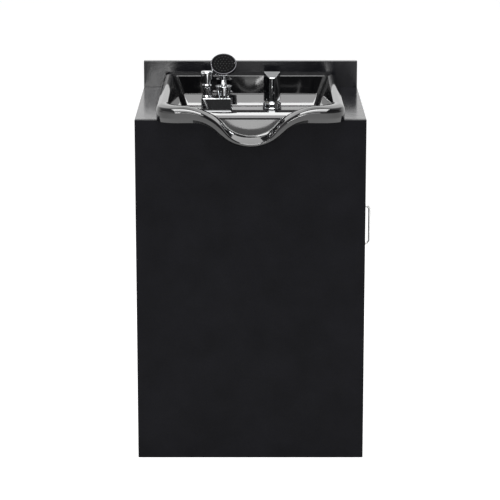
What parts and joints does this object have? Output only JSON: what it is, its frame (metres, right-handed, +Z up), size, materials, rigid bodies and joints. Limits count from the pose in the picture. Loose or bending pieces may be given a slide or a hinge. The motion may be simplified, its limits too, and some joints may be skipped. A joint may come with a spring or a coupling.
{
  "type": "salon wash basin",
  "caption": "Free-standing black salon wash basin: a cabinet with a side door, a glossy bowl with a neck dip, a single-lever mixer, a vacuum breaker and a hand spray parked in its guide.",
  "frame": {"origin": "on the floor under the middle of the carcass footprint", "axes": "+Z up, -Y towards the user at the neck dip, +X to the door side"},
  "size_m": [0.571, 0.554, 0.9203],
  "materials": {
    "black_laminate": "black laminate on board, semi-gloss with fine texture",
    "raw_board": "bare board rails",
    "gloss_black_abs": "thermoformed black plastic, high gloss",
    "chrome": "polished chrome plate",
    "satin_nickel": "satin",
    "zinc_steel": "zinc-plated",
    "brass": "turned",
    "copper": "drawn copper tube",
    "rubber": "matte",
    "black_plastic": "moulded, matte",
    "white_nylon": "moulded, matte"
  },
  "bodies": {
    "cabinet": {"front_panel": "black_laminate", "left_panel": "black_laminate", "right_stile": "black_laminate", "back_panel": "black_laminate", "bottom_panel": "black_laminate", "countertop": "black_laminate", "backsplash": "black_laminate", "left_rail": "raw_board", "right_rail": "raw_board", "rear_rail": "raw_board", "rail_screws": "zinc_steel", "counter_screws": "zinc_steel", "corner_brackets": "zinc_steel", "pivot_bushes": "white_nylon", "magnet_catch": "black_plastic", "bowl": "gloss_black_abs", "drain_flange": "chrome", "drain_gasket": "rubber", "drain_nut": "brass", "tailpiece": "chrome", "slip_nut": "chrome", "mixer_base": "chrome", "mixer_gasket": "rubber", "mixer_washer": "zinc_steel", "mixer_nut": "brass", "mixer_cartridge": "white_nylon", "cartridge_nut": "brass", "hot_inlet": "copper", "cold_inlet": "copper", "mixed_outlet": "copper", "breaker_gasket": "rubber", "breaker_body": "chrome", "breaker_washers": "rubber", "breaker_nuts": "brass", "breaker_bonnet": "chrome", "breaker_cap": "chrome", "hose_guide": "chrome", "guide_bush": "black_plastic"},
    "door": {"side_door": "black_laminate", "door_handle": "satin_nickel", "handle_screws": "zinc_steel", "pivot_pins": "zinc_steel", "strike_plate": "zinc_steel"},
    "strainer": {"hair_strainer": "chrome"},
    "mixer_turret": {"cartridge_cap": "chrome", "stem_pin": "zinc_steel"},
    "lever": {"mixer_stem": "zinc_steel", "mixer_lever": "chrome", "lever_screw": "zinc_steel"},
    "float": {"breaker_float": "white_nylon"},
    "spray_shank": {"spray_tail": "chrome"},
    "sprayer": {"spray_neck": "chrome", "spray_body": "chrome", "spray_seal": "rubber", "spray_ring": "chrome", "spray_face": "black_plastic"}
  },
  "joints": [
    {"name": "door_hinge", "type": "hinge", "parent": "cabinet", "child": "door", "pos_m": [0.262, -0.222, 0.4], "axis": [0, 0, -1], "range_deg": [0, 105]},
    {"name": "strainer_lift", "type": "slide", "parent": "cabinet", "child": "strainer", "axis": [0, 0, 1], "range_m": [0, 0.08]},
    {"name": "lever_swivel", "type": "hinge", "parent": "cabinet", "child": "mixer_turret", "pos_m": [0.054, 0.154, 0.806], "axis": [0, 0, 1], "range_deg": [-45, 45]},
    {"name": "lever_lift", "type": "hinge", "parent": "mixer_turret", "child": "lever", "pos_m": [0.054, 0.154, 0.806], "axis": [-1, 0, 0], "range_deg": [0, 25]},
    {"name": "float_rise", "type": "slide", "parent": "cabinet", "child": "float", "axis": [0, 0, 1], "range_m": [0, 0.004]},
    {"name": "spray_lift", "type": "slide", "parent": "cabinet", "child": "spray_shank", "axis": [0, 0, 1], "range_m": [0, 0.11]},
    {"name": "spray_turn", "type": "hinge", "parent": "spray_shank", "child": "sprayer", "pos_m": [-0.067, 0.148, 0.844], "axis": [0, 0, 1], "range_deg": [-25, 90]}
  ]
}
